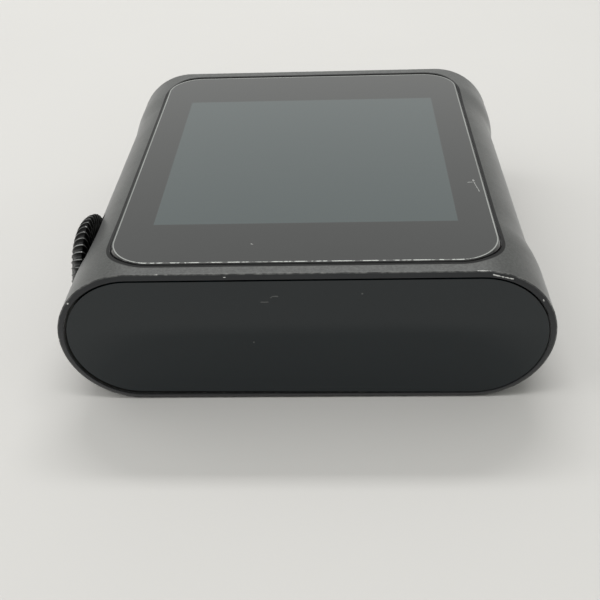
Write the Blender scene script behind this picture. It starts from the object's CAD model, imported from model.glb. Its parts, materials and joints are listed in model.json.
import json
import logging
import math
from dataclasses import dataclass
from enum import Enum

import bmesh
import bpy
from mathutils import Matrix, Vector


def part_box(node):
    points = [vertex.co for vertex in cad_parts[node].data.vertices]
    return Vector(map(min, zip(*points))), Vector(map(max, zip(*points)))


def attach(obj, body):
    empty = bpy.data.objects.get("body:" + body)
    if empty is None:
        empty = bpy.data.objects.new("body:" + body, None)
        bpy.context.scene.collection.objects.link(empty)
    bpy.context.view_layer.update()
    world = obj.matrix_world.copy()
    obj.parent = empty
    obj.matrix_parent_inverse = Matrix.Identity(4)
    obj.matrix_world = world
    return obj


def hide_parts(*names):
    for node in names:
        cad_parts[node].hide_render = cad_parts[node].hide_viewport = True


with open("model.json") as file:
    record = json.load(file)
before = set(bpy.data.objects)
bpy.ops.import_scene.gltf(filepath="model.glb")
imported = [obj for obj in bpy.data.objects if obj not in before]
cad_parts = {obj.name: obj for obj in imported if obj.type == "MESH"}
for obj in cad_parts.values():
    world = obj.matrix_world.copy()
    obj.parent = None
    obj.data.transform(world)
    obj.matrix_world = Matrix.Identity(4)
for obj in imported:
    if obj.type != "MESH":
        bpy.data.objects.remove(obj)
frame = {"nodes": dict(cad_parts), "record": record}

log = logging.getLogger("audio_player")
MM = 0.001
MERGE_DISTANCE = 1e-7
AXIS_Z = 6.9 * MM
WHEEL_Y = -11.8 * MM
RIBS = 50
RIB_START = 3.7 * MM
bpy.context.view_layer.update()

Colour = tuple[float, float, float]
LINT: Colour = (0.5, 0.5, 0.48)


# ----------------------------------------------------------------------------- node helpers
class Graph:
    """A node tree with short ways to add nodes and to join them."""

    def __init__(self, tree: bpy.types.NodeTree) -> None:
        """Keeps the tree and clears what it starts with.

        Args:
            tree: The tree of a material, a world or a group.
        """
        self.tree = tree
        tree.nodes.clear()

    def feed(self, socket: bpy.types.NodeSocket, value: object) -> None:
        """Gives a socket a link or a constant.

        Args:
            socket: The input to fill.
            value: Another node's output, a number, or a tuple.
        """
        if isinstance(value, bpy.types.NodeSocket):
            self.tree.links.new(value, socket)
        elif isinstance(value, tuple) and len(value) == 3 and socket.type == "RGBA":
            socket.default_value = (*value, 1.0)
        else:
            socket.default_value = value

    def add(self, kind: str, sets: dict | None = None, **inputs: object) -> bpy.types.Node:
        """Adds a node.

        Args:
            kind: The node's type without its ShaderNode prefix.
            sets: Properties of the node itself.
            **inputs: Its inputs by name, with underscores for spaces.

        Returns:
            The new node.
        """
        node = self.tree.nodes.new(kind if kind.startswith("Node") else "ShaderNode" + kind)
        for name, value in (sets or {}).items():
            setattr(node, name, value)
        for name, value in inputs.items():
            self.feed(node.inputs[name.replace("_", " ")], value)
        return node

    def maths(self, operation: str, *values: object, clamp: bool = False) -> bpy.types.NodeSocket:
        """Adds a Math node and returns its value.

        Args:
            operation: The Math node's operation.
            *values: Its inputs in order.
            clamp: Keeps the result between 0 and 1.

        Returns:
            The result's socket.
        """
        node = self.add("Math", {"operation": operation, "use_clamp": clamp})
        for socket, value in zip(node.inputs, values):
            self.feed(socket, value)
        return node.outputs[0]

    def vector(self, operation: str, first: object, second: object) -> bpy.types.NodeSocket:
        """Adds a Vector Math node.

        Args:
            operation: The node's operation.
            first: Its first input.
            second: Its second input.

        Returns:
            The result's socket, a vector or a number.
        """
        node = self.add("VectorMath", {"operation": operation})
        self.feed(node.inputs[0], first)
        self.feed(node.inputs[1], second)
        return node.outputs[1 if operation in ("DOT_PRODUCT", "DISTANCE") else 0]

    def hypot(self, first: object, second: object) -> bpy.types.NodeSocket:
        """Length of a vector from its two parts.

        Args:
            first: One part.
            second: The other part.

        Returns:
            The length's socket.
        """
        squares = [self.maths("MULTIPLY", part, part) for part in (first, second)]
        return self.maths("SQRT", self.maths("ADD", *squares))

    def highest(self, *masks: bpy.types.NodeSocket) -> bpy.types.NodeSocket:
        """Joins masks by taking the greatest at each point.

        Args:
            *masks: Their sockets.

        Returns:
            The joined mask's socket.
        """
        total = masks[0]
        for mask in masks[1:]:
            total = self.maths("MAXIMUM", total, mask)
        return total

    def from_core(self, split: bpy.types.Node, half_width: float,
                  half_length: float) -> bpy.types.NodeSocket:
        """Distance, seen from above, from a rectangle about the origin.

        Args:
            split: Node whose outputs are the place's X, Y and Z.
            half_width: Half the rectangle's size along X.
            half_length: Half its size along Y.

        Returns:
            The distance's socket, 0 inside the rectangle.
        """
        parts = []
        for output, half in ((split.outputs[0], half_width), (split.outputs[1], half_length)):
            past = self.maths("SUBTRACT", self.maths("ABSOLUTE", output), half)
            parts.append(self.maths("MAXIMUM", past, 0.0))
        return self.hypot(*parts)

    def ramp(self, value: object, low: float, high: float,
             start: float = 0.0, end: float = 1.0) -> bpy.types.NodeSocket:
        """Maps low..high smoothly onto start..end.

        Args:
            value: What is mapped.
            low: Value that gives start.
            high: Value that gives end.
            start: Result at and before low.
            end: Result at and past high.

        Returns:
            The mapped value's socket.
        """
        node = self.add("MapRange", {"interpolation_type": "SMOOTHSTEP"})
        for name, item in (("Value", value), ("From Min", low), ("From Max", high),
                           ("To Min", start), ("To Max", end)):
            self.feed(node.inputs[name], item)
        return node.outputs[0]

    def blend(self, factor: object, first: object, second: object) -> bpy.types.NodeSocket:
        """Mixes two colours.

        Args:
            factor: 0 gives the first, 1 the second.
            first: Colour or socket.
            second: Colour or socket.

        Returns:
            The mixed colour's socket.
        """
        # A Mix node has an A and a B for each data type: 6 and 7 are the colours, as is output 2.
        node = self.add("Mix", {"data_type": "RGBA"})
        self.feed(node.inputs[0], factor)
        self.feed(node.inputs[6], first)
        self.feed(node.inputs[7], second)
        return node.outputs[2]

    def place(self) -> bpy.types.NodeSocket:
        """Object coordinates, in metres in the frame's axes."""
        return self.add("TexCoord").outputs["Object"]

    def noise(self, where: object, scale: float, detail: float = 2.0,
              rough: float = 0.5) -> bpy.types.NodeSocket:
        """Adds a noise texture and returns its value.

        Args:
            where: The coordinates.
            scale: Features per metre.
            detail: Octaves.
            rough: Weight of the finer octaves.

        Returns:
            The value's socket.
        """
        return self.add("TexNoise", Vector=where, Scale=scale, Detail=detail,
                        Roughness=rough).outputs[0]


class EffectGroup:
    """Base of the shader node groups that several finishes share."""

    name = "effect"
    inputs: dict[str, float | tuple] = {}
    outputs: tuple[str, ...] = ()

    @classmethod
    def tree(cls) -> bpy.types.NodeTree:
        """Builds the group at its first use.

        Returns:
            The group's tree.
        """
        found = bpy.data.node_groups.get(cls.name)
        if found:
            return found
        tree = bpy.data.node_groups.new(cls.name, "ShaderNodeTree")
        tree.interface.new_socket("Place", in_out="INPUT", socket_type="NodeSocketVector")
        for label, value in cls.inputs.items():
            kind = "NodeSocketVector" if isinstance(value, tuple) else "NodeSocketFloat"
            socket = tree.interface.new_socket(label, in_out="INPUT", socket_type=kind)
            socket.default_value = value
        for label in cls.outputs:
            tree.interface.new_socket(label, in_out="OUTPUT", socket_type="NodeSocketFloat")
        graph = Graph(tree)
        cls.fill(graph, graph.add("NodeGroupInput"), graph.add("NodeGroupOutput"))
        return tree

    @classmethod
    def fill(cls, graph: Graph, given: bpy.types.Node, result: bpy.types.Node) -> None:
        """Adds the group's own nodes.

        Args:
            graph: The group's tree.
            given: Its input node.
            result: Its output node.
        """
        raise NotImplementedError

    @classmethod
    def use(cls, graph: Graph, where: object, **inputs: object) -> bpy.types.Node:
        """Places the group in a material.

        Args:
            graph: The material's tree.
            where: Coordinates for the group.
            **inputs: Values for its inputs, with underscores for spaces.

        Returns:
            The group's node.
        """
        node = graph.add("Group", {"node_tree": cls.tree()})
        graph.feed(node.inputs["Place"], where)
        for label, value in inputs.items():
            graph.feed(node.inputs[label.replace("_", " ")], value)
        return node


class Grain(EffectGroup):
    """Blasted or moulded grain: a height, and a slow mottling."""

    name = "surface_grain"
    inputs = {"Scale": 9000.0, "Mottle Scale": 260.0}
    outputs = ("Height", "Mottle")

    @classmethod
    def fill(cls, graph: Graph, given: bpy.types.Node, result: bpy.types.Node) -> None:
        """Adds the group's own nodes; see the base class for Args."""
        fine = graph.noise(given.outputs["Place"], 1.0, 3.0, 0.6)
        graph.feed(fine.node.inputs["Scale"], given.outputs["Scale"])
        slow = graph.noise(given.outputs["Place"], 1.0, 2.0, 0.5)
        graph.feed(slow.node.inputs["Scale"], given.outputs["Mottle Scale"])
        graph.feed(result.inputs["Height"], fine)
        graph.feed(result.inputs["Mottle"], graph.ramp(slow, 0.3, 0.7))


class Dust(EffectGroup):
    """Sparse specks of lint and dust, as a mask."""

    name = "dust_specks"
    inputs = {"Scale": 420.0, "Size": 0.05, "Share": 0.12}
    outputs = ("Mask",)

    @classmethod
    def fill(cls, graph: Graph, given: bpy.types.Node, result: bpy.types.Node) -> None:
        """Adds the group's own nodes; see the base class for Args."""
        cells = graph.add("TexVoronoi", Vector=given.outputs["Place"], Scale=given.outputs["Scale"],
                          Randomness=1.0)
        luck = graph.add("SeparateColor", Color=cells.outputs["Color"])
        size = graph.maths("MULTIPLY", given.outputs["Size"], luck.outputs[1])
        near = graph.maths("LESS_THAN", cells.outputs["Distance"], size)
        chosen = graph.maths("LESS_THAN", luck.outputs[0], given.outputs["Share"])
        graph.feed(result.inputs["Mask"], graph.maths("MULTIPLY", near, chosen))


class Hairlines(EffectGroup):
    """Faint scratches in random directions, as a mask."""

    name = "hairline_scratches"
    inputs = {"Scale": 130.0, "Width": 0.012, "Share": 0.35}
    outputs = ("Mask",)
    turns_and_squeezes = ((0.5, 0.07), (1.9, 0.05), (2.7, 0.09))

    @classmethod
    def fill(cls, graph: Graph, given: bpy.types.Node, result: bpy.types.Node) -> None:
        """Adds the group's own nodes; see the base class for Args."""
        lines = []
        for turn, squeeze in cls.turns_and_squeezes:
            spun = graph.add("Mapping", Vector=given.outputs["Place"], Rotation=(0.0, 0.0, turn),
                             Scale=(1.0, squeeze, 1.0), Location=(turn, squeeze, 0.0))
            cells = graph.add("TexVoronoi", {"feature": "DISTANCE_TO_EDGE"}, Vector=spun.outputs[0],
                              Scale=given.outputs["Scale"], Randomness=1.0)
            line = graph.maths("LESS_THAN", cells.outputs["Distance"], given.outputs["Width"])
            patch = graph.noise(spun.outputs[0], 300.0, 2.0)
            kept = graph.maths("LESS_THAN", patch, given.outputs["Share"])
            lines.append(graph.maths("MULTIPLY", line, kept))
        graph.feed(result.inputs["Mask"], graph.highest(*lines))


class Stroke(EffectGroup):
    """One scratch or chip between two points, as a mask."""

    name = "single_stroke"
    inputs = {"Start": (0.0, 0.0, 0.0), "End": (1.0, 0.0, 0.0), "Width": 0.1 * MM}
    outputs = ("Mask",)

    @classmethod
    def fill(cls, graph: Graph, given: bpy.types.Node, result: bpy.types.Node) -> None:
        """Adds the group's own nodes; see the base class for Args."""
        start = given.outputs["Start"]
        line = graph.vector("SUBTRACT", given.outputs["End"], start)
        away = graph.vector("SUBTRACT", given.outputs["Place"], start)
        share = graph.maths("DIVIDE", graph.vector("DOT_PRODUCT", away, line),
                            graph.vector("DOT_PRODUCT", line, line), clamp=True)
        scaled = graph.add("VectorMath", {"operation": "SCALE"}, Vector=line, Scale=share).outputs[0]
        distance = graph.vector("DISTANCE", away, scaled)
        ragged = graph.maths("MULTIPLY", graph.noise(given.outputs["Place"], 5000.0, 2.0), 2.0)
        width = graph.maths("MULTIPLY", given.outputs["Width"], ragged)
        graph.feed(result.inputs["Mask"], graph.maths("LESS_THAN", distance, width))

    @classmethod
    def several(cls, graph: Graph, where: object, strokes: tuple) -> bpy.types.NodeSocket:
        """Lays down a few strokes.

        Args:
            graph: The material's tree.
            where: Coordinates for the group.
            strokes: For each, its start, its end and its width, in millimetres.

        Returns:
            The mask of all of them.
        """
        masks = []
        for start, end, width in strokes:
            stroke = cls.use(graph, where, Start=tuple(MM * part for part in start),
                             End=tuple(MM * part for part in end), Width=width * MM)
            masks.append(stroke.outputs[0])
        return graph.highest(*masks)


class Smudge(EffectGroup):
    """Finger marks: soft patches of raised roughness."""

    name = "finger_smudge"
    inputs = {"Scale": 110.0}
    outputs = ("Mask",)

    @classmethod
    def fill(cls, graph: Graph, given: bpy.types.Node, result: bpy.types.Node) -> None:
        """Adds the group's own nodes; see the base class for Args."""
        soft = graph.noise(given.outputs["Place"], 1.0, 3.0, 0.65)
        graph.feed(soft.node.inputs["Scale"], given.outputs["Scale"])
        graph.feed(result.inputs["Mask"], graph.ramp(soft, 0.42, 0.68))


# ----------------------------------------------------------------------------- finishes
@dataclass(frozen=True)
class Finish:
    """What every finish has: a name and a way to make its material."""

    name: str

    def material(self) -> bpy.types.Material:
        """Makes the material at its first use.

        Returns:
            The material.
        """
        found = bpy.data.materials.get("player_" + self.name)
        if found:
            return found
        made = bpy.data.materials.new("player_" + self.name)
        made.use_nodes = True
        graph = Graph(made.node_tree)
        shader = graph.add("BsdfPrincipled")
        graph.add("OutputMaterial", Surface=shader.outputs[0])
        self.dress(graph, shader)
        return made

    def dress(self, graph: Graph, shader: bpy.types.Node) -> None:
        """Fills the material's tree.

        Args:
            graph: The material's tree.
            shader: Its Principled shader.
        """
        raise NotImplementedError

    @staticmethod
    def bump(graph: Graph, shader: bpy.types.Node, height: object, depth: float,
             strength: float = 1.0) -> None:
        """Joins a height to the shader's normal.

        Args:
            graph: The material's tree.
            shader: Its Principled shader.
            height: Socket from 0 to 1.
            depth: Real depth of that height, in metres.
            strength: Share of the effect.
        """
        node = graph.add("Bump", Height=height, Distance=depth, Strength=strength)
        graph.feed(shader.inputs["Normal"], node.outputs[0])


@dataclass(frozen=True)
class BlastedShell(Finish):
    """Dark anodised aluminium, bead-blasted, with a polished bevel at both ends.

    The gasket is the dark line around the glass: the part of the top that is within gasket_reach of the
    rectangle whose half sides are gasket_core.
    """

    colour: Colour = (0.037, 0.038, 0.0365)
    contrast: float = 0.42
    metal: float = 0.4
    sheen: float = 0.22
    sheen_rough: float = 0.35
    rough: tuple[float, float] = (0.40, 0.44)
    grain_deep: float = 0.006 * MM
    bare_flecks: float = 0.004
    polished: Colour = (0.020, 0.021, 0.023)
    bare: Colour = (0.60, 0.60, 0.58)
    half_length: float = 22.5 * MM
    bevel_deep: float = 0.15 * MM
    bevel_blur: float = 0.01 * MM
    bevel_gloss: float = 0.26
    worn_line: float = 0.035 * MM
    worn_range: tuple[float, float] = (0.04, 0.24)
    gasket: Colour = (0.003, 0.003, 0.003)
    gasket_core: tuple[float, float] = (13.3 * MM, 16.95 * MM)
    gasket_reach: float = 4.34 * MM
    gasket_blur: float = 0.02 * MM
    gasket_floor: float = 12.4 * MM
    gasket_matt: float = 0.5
    chips: tuple = (((15.84, -22.43, 13.45), (17.5, -22.43, 13.0), 0.05),
                    ((14.55, -22.36, 13.8), (15.65, -22.36, 13.8), 0.03),
                    ((20.25, -22.43, 10.85), (20.3, -22.43, 10.75), 0.06),
                    ((-20.35, -22.43, 10.9), (-20.3, -22.43, 10.95), 0.06),
                    ((-6.62, -22.43, 13.5), (-6.45, -22.43, 13.5), 0.035),
                    ((-12.4, -22.36, 13.8), (-12.2, -22.36, 13.8), 0.02),
                    ((3.1, 22.40, 13.6), (3.8, 22.40, 13.6), 0.08),
                    ((20.4, 22.43, 4.0), (20.2, 22.43, 3.6), 0.09))

    def dress(self, graph: Graph, shader: bpy.types.Node) -> None:
        """Fills the material's tree; see the base class for Args."""
        where = graph.place()
        split = graph.add("SeparateXYZ", Vector=where)
        along = graph.maths("ABSOLUTE", split.outputs[1])
        edge = self.half_length - self.bevel_deep
        bevel = graph.ramp(along, edge - self.bevel_blur, edge + self.bevel_blur)
        line = graph.maths("COMPARE", along, edge, self.worn_line)
        grain = Grain.use(graph, where, Scale=9500.0, Mottle_Scale=330.0)
        chips = Stroke.several(graph, where, self.chips)
        specks = Dust.use(graph, where, Scale=500.0, Size=0.10, Share=0.05)
        marks = graph.maths("MAXIMUM", chips, graph.maths("MULTIPLY", specks.outputs[0], 0.6), clamp=True)
        speckle = graph.ramp(graph.noise(where, 4600.0, 3.0, 0.7), 0.3, 0.7)
        ground = graph.blend(speckle, tuple((1.0 - self.contrast) * part for part in self.colour),
                             tuple((1.0 + self.contrast) * part for part in self.colour))
        flecks = graph.maths("MULTIPLY", grain.outputs["Mottle"], self.bare_flecks)
        ground = graph.blend(flecks, ground, self.bare)
        ground = graph.blend(bevel, ground, self.polished)
        reach = graph.from_core(split, *self.gasket_core)
        seam = graph.ramp(reach, self.gasket_reach - self.gasket_blur,
                          self.gasket_reach + self.gasket_blur, 1.0, 0.0)
        top = graph.maths("GREATER_THAN", split.outputs[2], self.gasket_floor)
        seam = graph.maths("MULTIPLY", seam, top)
        ground = graph.blend(seam, ground, self.gasket)
        worn = graph.ramp(graph.noise(where, 1300.0, 3.0, 0.6), 0.4, 0.7, *self.worn_range)
        worn = graph.maths("MULTIPLY", line, worn)
        ground = graph.blend(worn, ground, self.bare)
        ground = graph.blend(marks, ground, self.bare)
        graph.feed(shader.inputs["Base Color"], ground)
        shader.inputs["Metallic"].default_value = self.metal
        shader.inputs["Sheen Weight"].default_value = self.sheen
        shader.inputs["Sheen Roughness"].default_value = self.sheen_rough
        rough = graph.ramp(grain.outputs["Mottle"], 0.0, 1.0, *self.rough)
        rough = graph.maths("SUBTRACT", rough, graph.maths("MULTIPLY", bevel, self.bevel_gloss))
        rough = graph.maths("ADD", rough, graph.maths("MULTIPLY", seam, self.gasket_matt))
        graph.feed(shader.inputs["Roughness"], rough)
        height = graph.maths("MULTIPLY", grain.outputs["Height"], graph.maths("SUBTRACT", 1.0, bevel))
        self.bump(graph, shader, height, self.grain_deep, 0.5)


@dataclass(frozen=True)
class DisplayGlass(Finish):
    """Toughened glass over a black border print; the unlit panel shows a shade lighter."""

    border: Colour = (0.012, 0.0125, 0.0125)
    panel: Colour = (0.033, 0.044, 0.045)
    ground_edge: Colour = (0.42, 0.43, 0.41)
    rough: tuple[float, float] = (0.055, 0.11)
    rim_matt: float = 0.18
    refraction: float = 1.52
    half_side: float = 13.84 * MM
    lit_blur: float = 0.06 * MM
    panel_y: float = -0.39 * MM
    half_width: float = 17.2 * MM
    half_length: float = 20.85 * MM
    radius: float = 3.9 * MM
    bevel: float = 0.3 * MM
    hairline_share: float = 0.03
    dust_share: float = 0.25
    scratch_share: float = 0.35
    scratches: tuple = (((16.14, -6.60, 13.8), (16.20, -6.75, 13.8), 0.09),
                        ((15.60, -7.05, 13.8), (15.98, -7.02, 13.8), 0.05),
                        ((16.16, -6.95, 13.8), (16.45, -8.90, 13.8), 0.04),
                        ((-4.6, -17.7, 13.8), (-4.5, -17.75, 13.8), 0.06))

    def dress(self, graph: Graph, shader: bpy.types.Node) -> None:
        """Fills the material's tree; see the base class for Args."""
        where = graph.place()
        split = graph.add("SeparateXYZ", Vector=where)
        across = graph.maths("ABSOLUTE", split.outputs[0])
        along = graph.maths("ABSOLUTE", graph.maths("SUBTRACT", split.outputs[1], self.panel_y))
        reach = graph.maths("MAXIMUM", across, along)
        lit = graph.ramp(reach, self.half_side - self.lit_blur, self.half_side + self.lit_blur, 1.0, 0.0)
        corner = graph.from_core(split, self.half_width - self.radius, self.half_length - self.radius)
        inner = self.radius - self.bevel
        rim = graph.maths("MULTIPLY", graph.ramp(corner, inner - 0.03 * MM, inner),
                          graph.ramp(corner, inner + 0.07 * MM, inner + 0.12 * MM, 1.0, 0.0))
        near_end = -self.half_length
        near = graph.ramp(split.outputs[1], near_end + 0.3 * MM, near_end + 0.6 * MM, 1.0, 0.0)
        dashes = graph.ramp(graph.noise(where, 1900.0, 2.0, 0.7), 0.42, 0.58)
        steady = graph.ramp(graph.noise(where, 160.0, 2.0), 0.3, 0.7, 0.2, 0.45)
        shine = graph.add("Mix", A=steady, B=dashes, Factor=near).outputs[0]
        edge = graph.blend(shine, tuple(0.15 * part for part in self.ground_edge), self.ground_edge)
        smudge = Smudge.use(graph, where, Scale=90.0)
        lines = Hairlines.use(graph, where, Scale=240.0, Width=0.004, Share=0.22)
        specks = Dust.use(graph, where, Scale=300.0, Size=0.045, Share=0.10)
        deep = Stroke.several(graph, where, self.scratches)
        ground = graph.blend(lit, self.border, self.panel)
        ground = graph.blend(rim, ground, edge)
        marks = graph.highest(graph.maths("MULTIPLY", lines.outputs[0], self.hairline_share),
                              graph.maths("MULTIPLY", specks.outputs[0], self.dust_share),
                              graph.maths("MULTIPLY", deep, self.scratch_share))
        ground = graph.blend(marks, ground, LINT)
        graph.feed(shader.inputs["Base Color"], ground)
        rough = graph.ramp(smudge.outputs[0], 0.0, 1.0, *self.rough)
        rough = graph.maths("ADD", rough, graph.maths("MULTIPLY", rim, self.rim_matt))
        graph.feed(shader.inputs["Roughness"], rough)
        shader.inputs["IOR"].default_value = self.refraction
        self.bump(graph, shader, lines.outputs[0], 0.001 * MM, 0.3)


@dataclass(frozen=True)
class PianoBlack(Finish):
    """High-gloss black moulding with hairlines and a few specks of dust."""

    colour: Colour = (0.0030, 0.0068, 0.0088)
    scuffed: Colour = (0.45, 0.45, 0.43)
    rough: tuple[float, float] = (0.04, 0.08)
    refraction: float = 1.5
    hairline_share: float = 0.02
    dust_share: float = 0.16
    scuff_share: float = 0.14
    scuffs: tuple = (((-3.6, -22.45, 10.9), (-3.0, -22.45, 10.9), 0.05),
                     ((-2.75, -22.45, 11.35), (-2.6, -22.45, 11.5), 0.04),
                     ((-2.6, -22.45, 11.5), (-2.15, -22.45, 11.48), 0.05),
                     ((6.0, 22.45, 2.6), (7.2, 22.45, 2.9), 0.04))

    def dress(self, graph: Graph, shader: bpy.types.Node) -> None:
        """Fills the material's tree; see the base class for Args."""
        where = graph.place()
        turned = graph.add("Mapping", Vector=where, Rotation=(math.pi / 2, 0.0, 0.0)).outputs[0]
        lines = Hairlines.use(graph, turned, Scale=300.0, Width=0.004, Share=0.24)
        scuffs = Stroke.several(graph, where, self.scuffs)
        specks = Dust.use(graph, where, Scale=420.0, Size=0.06, Share=0.14)
        smudge = Smudge.use(graph, where, Scale=120.0)
        marks = graph.highest(graph.maths("MULTIPLY", lines.outputs[0], self.hairline_share),
                              graph.maths("MULTIPLY", specks.outputs[0], self.dust_share),
                              graph.maths("MULTIPLY", scuffs, self.scuff_share))
        graph.feed(shader.inputs["Base Color"], graph.blend(marks, self.colour, self.scuffed))
        graph.feed(shader.inputs["Roughness"], graph.ramp(smudge.outputs[0], 0.0, 1.0, *self.rough))
        shader.inputs["IOR"].default_value = self.refraction
        self.bump(graph, shader, graph.noise(where, 60.0, 1.0), 0.004 * MM, 0.4)


@dataclass(frozen=True)
class Plain(Finish):
    """A moulded, plated or coated finish that is told by its numbers."""

    colour: Colour
    second: Colour
    metal: float
    rough: float
    grain_scale: float = 6000.0
    grain_deep: float = 0.004 * MM
    brushed: bool = False
    dust_share: float = 0.3

    def dress(self, graph: Graph, shader: bpy.types.Node) -> None:
        """Fills the material's tree; see the base class for Args."""
        where = graph.place()
        if self.brushed:
            where = graph.add("Mapping", Vector=where, Scale=(1.0, 0.05, 1.0)).outputs[0]
        grain = Grain.use(graph, where, Scale=self.grain_scale, Mottle_Scale=500.0)
        specks = Dust.use(graph, where, Scale=600.0, Size=0.07, Share=0.06)
        ground = graph.blend(grain.outputs["Mottle"], self.colour, self.second)
        dusty = graph.maths("MULTIPLY", specks.outputs[0], self.dust_share)
        ground = graph.blend(dusty, ground, LINT)
        graph.feed(shader.inputs["Base Color"], ground)
        shader.inputs["Metallic"].default_value = self.metal
        graph.feed(shader.inputs["Roughness"],
                   graph.ramp(grain.outputs["Mottle"], 0.0, 1.0, self.rough - 0.04, self.rough + 0.06))
        self.bump(graph, shader, grain.outputs["Height"], self.grain_deep, 0.6)


@dataclass(frozen=True)
class KnurledMetal(Finish):
    """Black anodised crown: rubbed bright along the crests of its ribs, dark between them."""

    crest: Colour = (0.15, 0.15, 0.147)
    valley: Colour = (0.012, 0.012, 0.012)
    face_dark: Colour = (0.035, 0.035, 0.035)
    face_light: Colour = (0.05, 0.05, 0.05)
    metal: float = 0.85
    rough_valley: float = 0.42
    rough_crest: float = 0.26
    rib_fade: float = 0.8 * MM

    def dress(self, graph: Graph, shader: bpy.types.Node) -> None:
        """Fills the material's tree; see the base class for Args."""
        where = graph.place()
        axis = (0.0, WHEEL_Y, AXIS_Z)
        split = graph.add("SeparateXYZ", Vector=graph.vector("SUBTRACT", where, axis))
        angle = graph.maths("ARCTAN2", split.outputs[2], split.outputs[1])
        wave = graph.maths("COSINE", graph.maths("MULTIPLY", angle, float(RIBS)))
        radius = graph.hypot(split.outputs[1], split.outputs[2])
        ribbed = graph.ramp(radius, RIB_START, RIB_START + self.rib_fade)
        patchy = graph.ramp(graph.noise(where, 900.0, 3.0, 0.6), 0.3, 0.7, 0.45, 1.0)
        crest = graph.maths("MULTIPLY", graph.ramp(wave, -0.80, -0.98), patchy)
        ribs = graph.blend(crest, self.valley, self.crest)
        grain = Grain.use(graph, where, Scale=8000.0, Mottle_Scale=700.0)
        face = graph.blend(grain.outputs["Mottle"], self.face_dark, self.face_light)
        graph.feed(shader.inputs["Base Color"], graph.blend(ribbed, face, ribs))
        shader.inputs["Metallic"].default_value = self.metal
        graph.feed(shader.inputs["Roughness"],
                   graph.ramp(crest, 0.0, 1.0, self.rough_valley, self.rough_crest))
        self.bump(graph, shader, grain.outputs["Height"], 0.004 * MM, 0.5)


class Slot(Enum):
    """The finish for each material slot of the record."""

    shell_metal = BlastedShell("shell_metal")
    front_glass = DisplayGlass("front_glass")
    panel_gloss = PianoBlack("panel_gloss")
    wheel_metal = KnurledMetal("wheel_metal")
    adhesive = Plain("adhesive", (0.010, 0.010, 0.010), (0.014, 0.014, 0.014), 0.0, 0.85)
    touch_film = Plain("touch_film", (0.040, 0.045, 0.050), (0.045, 0.050, 0.055), 0.0, 0.2)
    lcd = Plain("lcd", (0.030, 0.036, 0.040), (0.034, 0.040, 0.044), 0.0, 0.25)
    backlight = Plain("backlight", (0.75, 0.75, 0.72), (0.80, 0.80, 0.77), 0.0, 0.45)
    foam = Plain("foam", (0.018, 0.018, 0.018), (0.026, 0.026, 0.026), 0.0, 0.95, 3000.0, 0.03 * MM)
    flex = Plain("flex", (0.32, 0.15, 0.03), (0.38, 0.19, 0.05), 0.0, 0.35, 1500.0)
    connector_plastic = Plain("connector_plastic", (0.55, 0.49, 0.38), (0.60, 0.54, 0.43), 0.0, 0.5)
    midframe_plastic = Plain("midframe_plastic", (0.022, 0.022, 0.023), (0.030, 0.030, 0.031), 0.0, 0.6)
    board = Plain("board", (0.008, 0.025, 0.055), (0.011, 0.032, 0.068), 0.0, 0.35, 1200.0)
    board_green = Plain("board_green", (0.012, 0.075, 0.035), (0.018, 0.090, 0.042), 0.0, 0.35, 1200.0)
    screw_steel = Plain("screw_steel", (0.45, 0.45, 0.45), (0.52, 0.52, 0.51), 1.0, 0.32, 5000.0,
                        0.003 * MM, True)
    chip = Plain("chip", (0.016, 0.016, 0.017), (0.022, 0.022, 0.023), 0.0, 0.55)
    plated_metal = Plain("plated_metal", (0.55, 0.55, 0.53), (0.60, 0.60, 0.58), 1.0, 0.34, 4000.0,
                         0.003 * MM, True)
    ceramic = Plain("ceramic", (0.28, 0.18, 0.10), (0.34, 0.23, 0.14), 0.0, 0.45)
    pouch = Plain("pouch", (0.42, 0.43, 0.44), (0.48, 0.49, 0.50), 0.7, 0.38, 900.0, 0.02 * MM)
    wire = Plain("wire", (0.30, 0.012, 0.012), (0.36, 0.018, 0.018), 0.0, 0.45)
    jack_plastic = Plain("jack_plastic", (0.016, 0.016, 0.016), (0.022, 0.022, 0.022), 0.0, 0.48)
    gold_plate = Plain("gold_plate", (0.72, 0.50, 0.19), (0.78, 0.56, 0.23), 1.0, 0.25, 5000.0,
                       0.002 * MM)
    collar_metal = Plain("collar_metal", (0.36, 0.36, 0.35), (0.42, 0.42, 0.41), 1.0, 0.25, 5000.0,
                         0.002 * MM)
    usb_metal = Plain("usb_metal", (0.45, 0.45, 0.44), (0.50, 0.50, 0.49), 1.0, 0.28, 4000.0,
                      0.003 * MM, True)
    slider_plastic = Plain("slider_plastic", (0.42, 0.37, 0.27), (0.48, 0.43, 0.32), 0.0, 0.5)
    antenna_plastic = Plain("antenna_plastic", (0.50, 0.50, 0.47), (0.55, 0.55, 0.52), 0.0, 0.5)
    shaft_steel = Plain("shaft_steel", (0.45, 0.45, 0.45), (0.50, 0.50, 0.50), 1.0, 0.22, 5000.0,
                        0.002 * MM, True)
    gear_plastic = Plain("gear_plastic", (0.66, 0.63, 0.55), (0.70, 0.67, 0.60), 0.0, 0.45)
    bushing = Plain("bushing", (0.60, 0.42, 0.18), (0.66, 0.47, 0.21), 1.0, 0.3)


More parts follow.
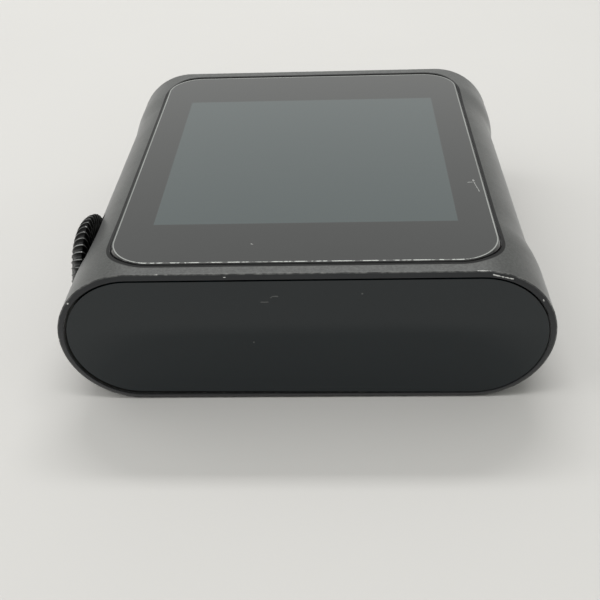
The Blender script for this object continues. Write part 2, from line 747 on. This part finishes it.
# ----------------------------------------------------------------------------- mesh helpers
def finish_piece(name: str, mesh: bmesh.types.BMesh, body: str, slot: Slot,
                 replaces: tuple[str, ...] = (), smooth: float = 35.0) -> bpy.types.Object:
    """Turns a finished bmesh into a piece of the player.

    Args:
        name: The piece's name.
        mesh: Its geometry in the frame's axes; freed here.
        body: The body that it rides on.
        slot: Its finish.
        replaces: CAD nodes that it stands for.
        smooth: Edges flatter than this angle, in degrees, are shaded smooth.

    Returns:
        The new object.
    """
    bmesh.ops.remove_doubles(mesh, verts=mesh.verts, dist=MERGE_DISTANCE)
    bmesh.ops.recalc_face_normals(mesh, faces=mesh.faces)
    for face in mesh.faces:
        face.smooth = True
    for edge in mesh.edges:
        edge.smooth = len(edge.link_faces) == 2 and edge.calc_face_angle(0.0) < math.radians(smooth)
    data = bpy.data.meshes.new(name)
    mesh.to_mesh(data)
    mesh.free()
    piece = bpy.data.objects.new(name, data)
    bpy.context.scene.collection.objects.link(piece)
    data.materials.append(slot.value.material())
    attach(piece, body)
    if replaces:
        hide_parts(*replaces)
    log.info("piece %s: %d faces on %s", name, len(data.polygons), body)
    return piece


# ----------------------------------------------------------------------------- sub-assemblies
@dataclass
class Casework:
    """CAD nodes that stay: each gets the finish of its slot."""

    def dress(self) -> None:
        """Gives every carried-over node its procedural material."""
        slots = {part["node"]: part["material_slot"] for part in frame["record"]["subparts"]}
        for node, thing in frame["nodes"].items():
            material = Slot[slots[node]].value.material()
            thing.data.materials.clear()
            thing.data.materials.append(material)
            log.info("node %s: %s", node, slots[node])


@dataclass
class RibbedCrown:
    """The domed wheel: a spun form whose rim is drawn into rounded ribs."""

    middle_x: float = -20.65 * MM
    radius: float = 5.85 * MM
    bulge: float = 1.5 * MM
    crown: float = 2.87 * MM
    fullness: float = 0.8
    rib_fade: float = 0.9 * MM
    back_x: float = -20.38 * MM
    back_round: float = 1.1 * MM
    hub_radius: float = 3.85 * MM
    hub_x: float = -18.4 * MM
    shaft_radius: float = 1.3 * MM
    shaft_x: float = -20.9 * MM
    groove: float = 0.27 * MM
    hub_clear: float = 0.1 * MM
    hub_fade: float = 0.5 * MM
    back_slack: float = 0.001 * MM
    steps_per_rib: int = 12
    dome_steps: int = 24
    back_steps: int = 8

    def profile(self) -> list[Vector]:
        """Half outline of the wheel, from the face's centre over the dome and down to the hub.

        Returns:
            Its points, with X along the axis and Y away from it.
        """
        face_radius = self.radius - self.crown
        face_x = self.middle_x - self.bulge
        points = [Vector((face_x, share * face_radius, 0.0)) for share in (0.0, 0.4, 0.8)]
        for index in range(self.dome_steps + 1):
            turn = math.pi / 2 * (index / self.dome_steps - 1.0)
            points.append(Vector((self.middle_x + self.bulge * math.sin(turn),
                                  self.radius - self.crown * (1.0 - math.cos(turn) ** self.fullness), 0.0)))
        for index in range(1, self.back_steps + 1):
            turn = math.pi / 2 * index / self.back_steps
            points.append(Vector((self.middle_x + (self.back_x - self.middle_x) * math.sin(turn),
                                  self.radius - self.back_round * (1.0 - math.cos(turn)), 0.0)))
        points += [Vector((self.back_x, self.hub_radius, 0.0)), Vector((self.hub_x, self.hub_radius, 0.0)),
                   Vector((self.hub_x, self.shaft_radius, 0.0)),
                   Vector((self.shaft_x, self.shaft_radius, 0.0)), Vector((self.shaft_x, 0.0, 0.0))]
        return points

    def build(self) -> bpy.types.Object:
        """Spins the outline about X and sinks the grooves between the ribs.

        Returns:
            The wheel's visible piece.
        """
        mesh = bmesh.new()
        points = self.profile()
        verts = [mesh.verts.new(point) for point in points]
        edges = [mesh.edges.new(pair) for pair in zip(verts, verts[1:])]
        bmesh.ops.spin(mesh, geom=verts + edges, cent=(0.0, 0.0, 0.0), axis=(1.0, 0.0, 0.0),
                       dvec=(0.0, 0.0, 0.0), angle=2.0 * math.pi,
                       steps=RIBS * self.steps_per_rib, use_merge=True, use_duplicate=False)
        bmesh.ops.remove_doubles(mesh, verts=mesh.verts, dist=MERGE_DISTANCE)
        bmesh.ops.recalc_face_normals(mesh, faces=mesh.faces)
        mesh.normal_update()
        for vert, depth in [(vert, self.depth(vert.co)) for vert in mesh.verts]:
            vert.co -= vert.normal * depth
        bmesh.ops.translate(mesh, verts=mesh.verts, vec=(0.0, WHEEL_Y, AXIS_Z))
        return finish_piece("wheel_crown", mesh, "wheel", Slot.wheel_metal, ("wheel_cap",), 50.0)

    def depth(self, place: Vector) -> float:
        """How far a point of the plain spun form lies under the crests of the ribs.

        Args:
            place: The point, centred on the axis.

        Returns:
            The depth of the round groove there, or 0 off the ribs.
        """
        radius = math.hypot(place.y, place.z)
        if place.x > self.back_x + self.back_slack or radius < RIB_START:
            return 0.0
        front = min((radius - RIB_START) / self.rib_fade, 1.0)
        behind = min(max((radius - self.hub_radius - self.hub_clear) / self.hub_fade, 0.0), 1.0)
        pitch = 2.0 * math.pi / RIBS
        off = (math.atan2(place.z, place.y) / pitch + 0.5) % 1.0 - 0.5
        aside = off * pitch * radius
        fade = behind if place.x > self.middle_x else front
        return fade * math.sqrt(max(self.groove ** 2 - aside ** 2, 0.0))


@dataclass
class PortContacts:
    """Gold pads on both faces of the tongue in the charging socket."""

    count: int = 12
    pitch: float = 0.5 * MM
    pad: tuple[float, float, float] = (0.28 * MM, 3.4 * MM, 0.03 * MM)
    inset_y: float = 0.2 * MM
    bevel: float = 0.008 * MM

    def build(self) -> bpy.types.Object:
        """Lays the pads along the tongue's width.

        Returns:
            The piece with all the pads.
        """
        low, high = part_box("usb_tongue")
        middle = (low + high) / 2
        mesh = bmesh.new()
        for index in range(self.count):
            x = middle.x + (index - (self.count - 1) / 2) * self.pitch
            for z in (low.z, high.z):
                at = Matrix.Translation((x, middle.y + self.inset_y, z)) @ Matrix.Diagonal((*self.pad, 1.0))
                made = bmesh.ops.create_cube(mesh, size=1.0, matrix=at)
                edges = list({edge for vert in made["verts"] for edge in vert.link_edges})
                bmesh.ops.bevel(mesh, geom=edges, offset=self.bevel, segments=1, profile=0.5,
                                affect="EDGES", material=-1)
        return finish_piece("usb_contact_pads", mesh, "player", Slot.gold_plate)


@dataclass
class Studio:
    """Floor, light and camera."""

    floor_size: float = 5.0
    floor_drop: float = 0.02 * MM
    paper_dark: Colour = (0.438, 0.428, 0.415)
    paper_light: Colour = (0.463, 0.453, 0.440)
    room_colour: Colour = (0.98, 1.0, 0.965)
    room_strength: float = 0.72
    sensor: float = 36.0
    focal: float = 53.25
    position: Vector = Vector((3.139 * MM, -83.675 * MM, 55.134 * MM))

    def floor(self) -> None:
        """Lays a plain pale floor under the player."""
        mesh = bmesh.new()
        just_below = Matrix.Translation((0.0, 0.0, -self.floor_drop))
        bmesh.ops.create_grid(mesh, x_segments=1, y_segments=1, size=self.floor_size, matrix=just_below)
        data = bpy.data.meshes.new("floor")
        mesh.to_mesh(data)
        mesh.free()
        plane = bpy.data.objects.new("floor", data)
        bpy.context.scene.collection.objects.link(plane)
        material = bpy.data.materials.new("floor_paper")
        material.use_nodes = True
        graph = Graph(material.node_tree)
        where = graph.place()
        slow = graph.noise(where, 18.0, 3.0)
        fine = graph.noise(where, 2500.0, 3.0, 0.6)
        colour = graph.blend(slow, self.paper_dark, self.paper_light)
        bump = graph.add("Bump", Height=fine, Distance=0.01 * MM, Strength=0.3)
        shader = graph.add("BsdfPrincipled", Base_Color=colour, Roughness=0.8, Normal=bump.outputs[0])
        graph.add("OutputMaterial", Surface=shader.outputs[0])
        data.materials.append(material)

    def light(self, name: str, place: tuple[float, float, float], size: tuple[float, float],
              power: float) -> None:
        """Adds a flat soft light that faces the player.

        Args:
            name: The light's name.
            place: Where it stands, in metres.
            size: Its width and height, in metres.
            power: Its power, in watts.
        """
        data = bpy.data.lights.new(name, "AREA")
        data.shape = "RECTANGLE"
        data.size, data.size_y = size
        data.energy = power
        lamp = bpy.data.objects.new(name, data)
        lamp.location = place
        aim = Vector((0.0, 0.0, AXIS_Z)) - Vector(place)
        lamp.rotation_euler = aim.to_track_quat("-Z", "Y").to_euler()
        bpy.context.scene.collection.objects.link(lamp)

    def camera(self) -> None:
        """Stands the camera at the viewing angle."""
        data = bpy.data.cameras.new("camera")
        data.sensor_width = self.sensor
        data.lens = self.focal
        data.clip_start = 0.005
        thing = bpy.data.objects.new("camera", data)
        right = Vector((0.99893033, 0.03048767, -0.03476643))
        down = Vector((-0.01040628, -0.58435133, -0.81143406))
        ahead = Vector((-0.04505454, 0.81092789, -0.58340900))
        turn = Matrix((right, -down, -ahead)).transposed().to_4x4()
        thing.matrix_world = Matrix.Translation(self.position) @ turn
        bpy.context.scene.collection.objects.link(thing)
        bpy.context.scene.camera = thing

    def world(self) -> None:
        """Surrounds the scene with even soft light."""
        world = bpy.data.worlds.new("soft_room")
        world.use_nodes = True
        graph = Graph(world.node_tree)
        back = graph.add("Background", Color=self.room_colour, Strength=self.room_strength)
        graph.add("OutputWorld", Surface=back.outputs[0])
        bpy.context.scene.world = world

    def build(self) -> None:
        """Builds the whole studio."""
        self.floor()
        self.world()
        self.light("left_softbox", (-0.60, 0.05, 0.42), (0.8, 0.8), 2.8)
        self.light("back_bar", (0.0, 0.402, 0.573), (0.5, 0.06), 2.4)
        self.light("front_bar", (0.0, -0.122, 0.69), (0.5, 0.06), 1.5)
        self.light("window_wall", (0.0, 1.2, 0.85), (1.2, 1.2), 1.7)
        self.camera()
        bpy.context.scene.view_settings.view_transform = "Standard"


def main() -> None:
    """Builds the player's visible pieces in order and reports each."""
    logging.basicConfig(level=logging.INFO, format="%(name)s %(message)s")
    Casework().dress()
    RibbedCrown().build()
    PortContacts().build()
    Studio().build()


if __name__ == "__main__":
    main()
